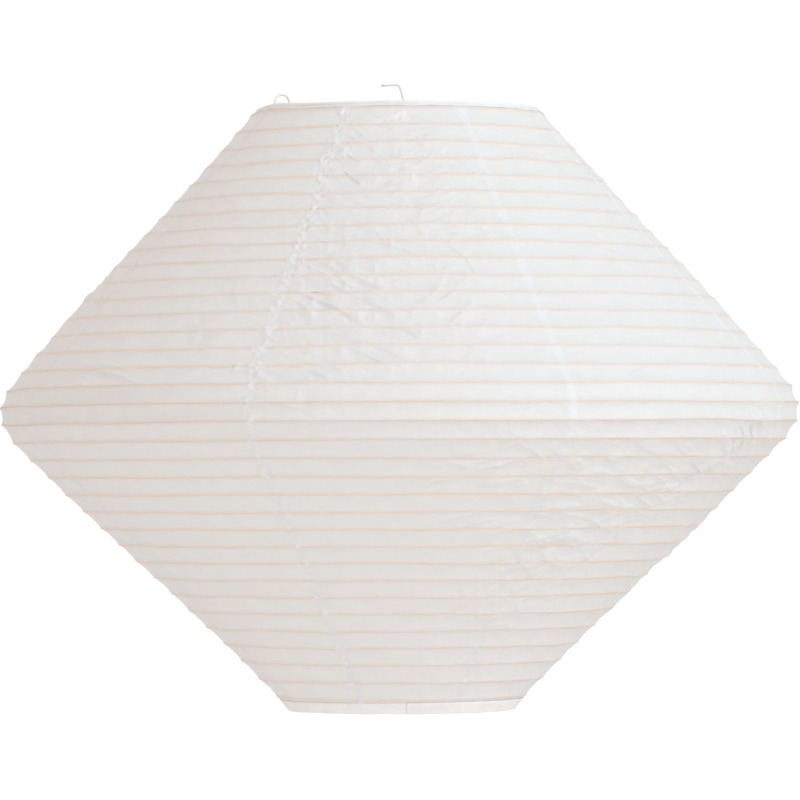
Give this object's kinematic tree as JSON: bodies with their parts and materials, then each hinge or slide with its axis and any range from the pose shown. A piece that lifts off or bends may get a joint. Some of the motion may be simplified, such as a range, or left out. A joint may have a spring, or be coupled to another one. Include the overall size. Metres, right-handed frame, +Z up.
{
  "type": "paper lantern",
  "caption": "Double-cone pendant lantern of white paper gores on level bamboo hoops, wire rims in paper hems, a bent-wire expander with a lamp ring, and a hanging hook.",
  "frame": {"origin": "centre of the lamp ring's hole, level with the ring's upper face", "axes": "+Z up along the lantern's axis; -Y is the front; the hook's tip points to -X"},
  "size_m": [0.5998, 0.5998, 0.4704],
  "materials": {
    "rice_paper": "matt, fibrous, lightly creased",
    "bamboo": "split and scraped, bare",
    "white_painted_steel": "dipped white enamel, satin"
  },
  "bodies": {
    "expander": {"expander_wire_left": "white_painted_steel", "expander_wire_right": "white_painted_steel", "lamp_ring": "white_painted_steel", "top_rim_wire": "white_painted_steel", "top_hem_strip": "rice_paper", "bamboo_hoop_01": "bamboo", "paper_gore_1": "rice_paper", "paper_gore_2": "rice_paper", "paper_gore_3": "rice_paper", "paper_gore_4": "rice_paper", "paper_gore_5": "rice_paper", "paper_gore_6": "rice_paper", "paper_gore_7": "rice_paper", "paper_gore_8": "rice_paper"},
    "bottom_rim": {"bottom_rim_wire": "white_painted_steel", "bottom_hem_strip": "rice_paper"},
    "hook": {"hanging_hook": "white_painted_steel"},
    "hoop_02": {"bamboo_hoop_02": "bamboo"},
    "hoop_03": {"bamboo_hoop_03": "bamboo"},
    "hoop_04": {"bamboo_hoop_04": "bamboo"},
    "hoop_05": {"bamboo_hoop_05": "bamboo"},
    "hoop_06": {"bamboo_hoop_06": "bamboo"},
    "hoop_07": {"bamboo_hoop_07": "bamboo"},
    "hoop_08": {"bamboo_hoop_08": "bamboo"},
    "hoop_09": {"bamboo_hoop_09": "bamboo"},
    "hoop_10": {"bamboo_hoop_10": "bamboo"},
    "hoop_11": {"bamboo_hoop_11": "bamboo"},
    "hoop_12": {"bamboo_hoop_12": "bamboo"},
    "hoop_13": {"bamboo_hoop_13": "bamboo"},
    "hoop_14": {"bamboo_hoop_14": "bamboo"},
    "hoop_15": {"bamboo_hoop_15": "bamboo"},
    "hoop_16": {"bamboo_hoop_16": "bamboo"},
    "hoop_17": {"bamboo_hoop_17": "bamboo"},
    "hoop_18": {"bamboo_hoop_18": "bamboo"},
    "hoop_19": {"bamboo_hoop_19": "bamboo"},
    "hoop_20": {"bamboo_hoop_20": "bamboo"},
    "hoop_21": {"bamboo_hoop_21": "bamboo"},
    "hoop_22": {"bamboo_hoop_22": "bamboo"},
    "hoop_23": {"bamboo_hoop_23": "bamboo"},
    "hoop_24": {"bamboo_hoop_24": "bamboo"},
    "hoop_25": {"bamboo_hoop_25": "bamboo"},
    "hoop_26": {"bamboo_hoop_26": "bamboo"},
    "hoop_27": {"bamboo_hoop_27": "bamboo"},
    "hoop_28": {"bamboo_hoop_28": "bamboo"},
    "hoop_29": {"bamboo_hoop_29": "bamboo"},
    "hoop_30": {"bamboo_hoop_30": "bamboo"},
    "hoop_31": {"bamboo_hoop_31": "bamboo"},
    "hoop_32": {"bamboo_hoop_32": "bamboo"},
    "hoop_33": {"bamboo_hoop_33": "bamboo"},
    "hoop_34": {"bamboo_hoop_34": "bamboo"},
    "hoop_35": {"bamboo_hoop_35": "bamboo"}
  },
  "joints": [
    {"name": "shade_collapse", "type": "slide", "parent": "expander", "child": "bottom_rim", "axis": [0, 0, 1], "range_m": [0, 0.405], "deforming": ["paper_gore_1", "paper_gore_2", "paper_gore_3", "paper_gore_4", "paper_gore_5", "paper_gore_6", "paper_gore_7", "paper_gore_8"]},
    {"name": "hook_swing", "type": "hinge", "parent": "expander", "child": "hook", "pos_m": [0.026, 0, 0], "axis": [0, 0, 1], "continuous": true},
    {"name": "hoop_02_rise", "type": "slide", "parent": "expander", "child": "hoop_02", "axis": [0, 0, 1], "range_m": [0, 0.01187]},
    {"name": "hoop_03_rise", "type": "slide", "parent": "expander", "child": "hoop_03", "axis": [0, 0, 1], "range_m": [0, 0.02365]},
    {"name": "hoop_04_rise", "type": "slide", "parent": "expander", "child": "hoop_04", "axis": [0, 0, 1], "range_m": [0, 0.03542]},
    {"name": "hoop_05_rise", "type": "slide", "parent": "expander", "child": "hoop_05", "axis": [0, 0, 1], "range_m": [0, 0.0472]},
    {"name": "hoop_06_rise", "type": "slide", "parent": "expander", "child": "hoop_06", "axis": [0, 0, 1], "range_m": [0, 0.05897]},
    {"name": "hoop_07_rise", "type": "slide", "parent": "expander", "child": "hoop_07", "axis": [0, 0, 1], "range_m": [0, 0.07074]},
    {"name": "hoop_08_rise", "type": "slide", "parent": "expander", "child": "hoop_08", "axis": [0, 0, 1], "range_m": [0, 0.08252]},
    {"name": "hoop_09_rise", "type": "slide", "parent": "expander", "child": "hoop_09", "axis": [0, 0, 1], "range_m": [0, 0.09429]},
    {"name": "hoop_10_rise", "type": "slide", "parent": "expander", "child": "hoop_10", "axis": [0, 0, 1], "range_m": [0, 0.10606]},
    {"name": "hoop_11_rise", "type": "slide", "parent": "expander", "child": "hoop_11", "axis": [0, 0, 1], "range_m": [0, 0.11784]},
    {"name": "hoop_12_rise", "type": "slide", "parent": "expander", "child": "hoop_12", "axis": [0, 0, 1], "range_m": [0, 0.12961]},
    {"name": "hoop_13_rise", "type": "slide", "parent": "expander", "child": "hoop_13", "axis": [0, 0, 1], "range_m": [0, 0.14139]},
    {"name": "hoop_14_rise", "type": "slide", "parent": "expander", "child": "hoop_14", "axis": [0, 0, 1], "range_m": [0, 0.15316]},
    {"name": "hoop_15_rise", "type": "slide", "parent": "expander", "child": "hoop_15", "axis": [0, 0, 1], "range_m": [0, 0.16493]},
    {"name": "hoop_16_rise", "type": "slide", "parent": "expander", "child": "hoop_16", "axis": [0, 0, 1], "range_m": [0, 0.17671]},
    {"name": "hoop_17_rise", "type": "slide", "parent": "expander", "child": "hoop_17", "axis": [0, 0, 1], "range_m": [0, 0.18848]},
    {"name": "hoop_18_rise", "type": "slide", "parent": "expander", "child": "hoop_18", "axis": [0, 0, 1], "range_m": [0, 0.20025]},
    {"name": "hoop_19_rise", "type": "slide", "parent": "expander", "child": "hoop_19", "axis": [0, 0, 1], "range_m": [0, 0.21203]},
    {"name": "hoop_20_rise", "type": "slide", "parent": "expander", "child": "hoop_20", "axis": [0, 0, 1], "range_m": [0, 0.2238]},
    {"name": "hoop_21_rise", "type": "slide", "parent": "expander", "child": "hoop_21", "axis": [0, 0, 1], "range_m": [0, 0.23558]},
    {"name": "hoop_22_rise", "type": "slide", "parent": "expander", "child": "hoop_22", "axis": [0, 0, 1], "range_m": [0, 0.24735]},
    {"name": "hoop_23_rise", "type": "slide", "parent": "expander", "child": "hoop_23", "axis": [0, 0, 1], "range_m": [0, 0.25912]},
    {"name": "hoop_24_rise", "type": "slide", "parent": "expander", "child": "hoop_24", "axis": [0, 0, 1], "range_m": [0, 0.2709]},
    {"name": "hoop_25_rise", "type": "slide", "parent": "expander", "child": "hoop_25", "axis": [0, 0, 1], "range_m": [0, 0.28267]},
    {"name": "hoop_26_rise", "type": "slide", "parent": "expander", "child": "hoop_26", "axis": [0, 0, 1], "range_m": [0, 0.29444]},
    {"name": "hoop_27_rise", "type": "slide", "parent": "expander", "child": "hoop_27", "axis": [0, 0, 1], "range_m": [0, 0.30622]},
    {"name": "hoop_28_rise", "type": "slide", "parent": "expander", "child": "hoop_28", "axis": [0, 0, 1], "range_m": [0, 0.31799]},
    {"name": "hoop_29_rise", "type": "slide", "parent": "expander", "child": "hoop_29", "axis": [0, 0, 1], "range_m": [0, 0.32977]},
    {"name": "hoop_30_rise", "type": "slide", "parent": "expander", "child": "hoop_30", "axis": [0, 0, 1], "range_m": [0, 0.34154]},
    {"name": "hoop_31_rise", "type": "slide", "parent": "expander", "child": "hoop_31", "axis": [0, 0, 1], "range_m": [0, 0.35331]},
    {"name": "hoop_32_rise", "type": "slide", "parent": "expander", "child": "hoop_32", "axis": [0, 0, 1], "range_m": [0, 0.36509]},
    {"name": "hoop_33_rise", "type": "slide", "parent": "expander", "child": "hoop_33", "axis": [0, 0, 1], "range_m": [0, 0.37686]},
    {"name": "hoop_34_rise", "type": "slide", "parent": "expander", "child": "hoop_34", "axis": [0, 0, 1], "range_m": [0, 0.38863]},
    {"name": "hoop_35_rise", "type": "slide", "parent": "expander", "child": "hoop_35", "axis": [0, 0, 1], "range_m": [0, 0.40041]}
  ],
  "couplings": [
    {"joint": "hoop_02_rise", "follows": "shade_collapse", "ratio": 0.029071},
    {"joint": "hoop_03_rise", "follows": "shade_collapse", "ratio": 0.058142},
    {"joint": "hoop_04_rise", "follows": "shade_collapse", "ratio": 0.087213},
    {"joint": "hoop_05_rise", "follows": "shade_collapse", "ratio": 0.11628},
    {"joint": "hoop_06_rise", "follows": "shade_collapse", "ratio": 0.14536},
    {"joint": "hoop_07_rise", "follows": "shade_collapse", "ratio": 0.17443},
    {"joint": "hoop_08_rise", "follows": "shade_collapse", "ratio": 0.2035},
    {"joint": "hoop_09_rise", "follows": "shade_collapse", "ratio": 0.23257},
    {"joint": "hoop_10_rise", "follows": "shade_collapse", "ratio": 0.26164},
    {"joint": "hoop_11_rise", "follows": "shade_collapse", "ratio": 0.29071},
    {"joint": "hoop_12_rise", "follows": "shade_collapse", "ratio": 0.31978},
    {"joint": "hoop_13_rise", "follows": "shade_collapse", "ratio": 0.34885},
    {"joint": "hoop_14_rise", "follows": "shade_collapse", "ratio": 0.37792},
    {"joint": "hoop_15_rise", "follows": "shade_collapse", "ratio": 0.40699},
    {"joint": "hoop_16_rise", "follows": "shade_collapse", "ratio": 0.43606},
    {"joint": "hoop_17_rise", "follows": "shade_collapse", "ratio": 0.46514},
    {"joint": "hoop_18_rise", "follows": "shade_collapse", "ratio": 0.49421},
    {"joint": "hoop_19_rise", "follows": "shade_collapse", "ratio": 0.52328},
    {"joint": "hoop_20_rise", "follows": "shade_collapse", "ratio": 0.55235},
    {"joint": "hoop_21_rise", "follows": "shade_collapse", "ratio": 0.58142},
    {"joint": "hoop_22_rise", "follows": "shade_collapse", "ratio": 0.61049},
    {"joint": "hoop_23_rise", "follows": "shade_collapse", "ratio": 0.63956},
    {"joint": "hoop_24_rise", "follows": "shade_collapse", "ratio": 0.66863},
    {"joint": "hoop_25_rise", "follows": "shade_collapse", "ratio": 0.6977},
    {"joint": "hoop_26_rise", "follows": "shade_collapse", "ratio": 0.72677},
    {"joint": "hoop_27_rise", "follows": "shade_collapse", "ratio": 0.75585},
    {"joint": "hoop_28_rise", "follows": "shade_collapse", "ratio": 0.78492},
    {"joint": "hoop_29_rise", "follows": "shade_collapse", "ratio": 0.81399},
    {"joint": "hoop_30_rise", "follows": "shade_collapse", "ratio": 0.84306},
    {"joint": "hoop_31_rise", "follows": "shade_collapse", "ratio": 0.87213},
    {"joint": "hoop_32_rise", "follows": "shade_collapse", "ratio": 0.9012},
    {"joint": "hoop_33_rise", "follows": "shade_collapse", "ratio": 0.93027},
    {"joint": "hoop_34_rise", "follows": "shade_collapse", "ratio": 0.95934},
    {"joint": "hoop_35_rise", "follows": "shade_collapse", "ratio": 0.98841}
  ]
}
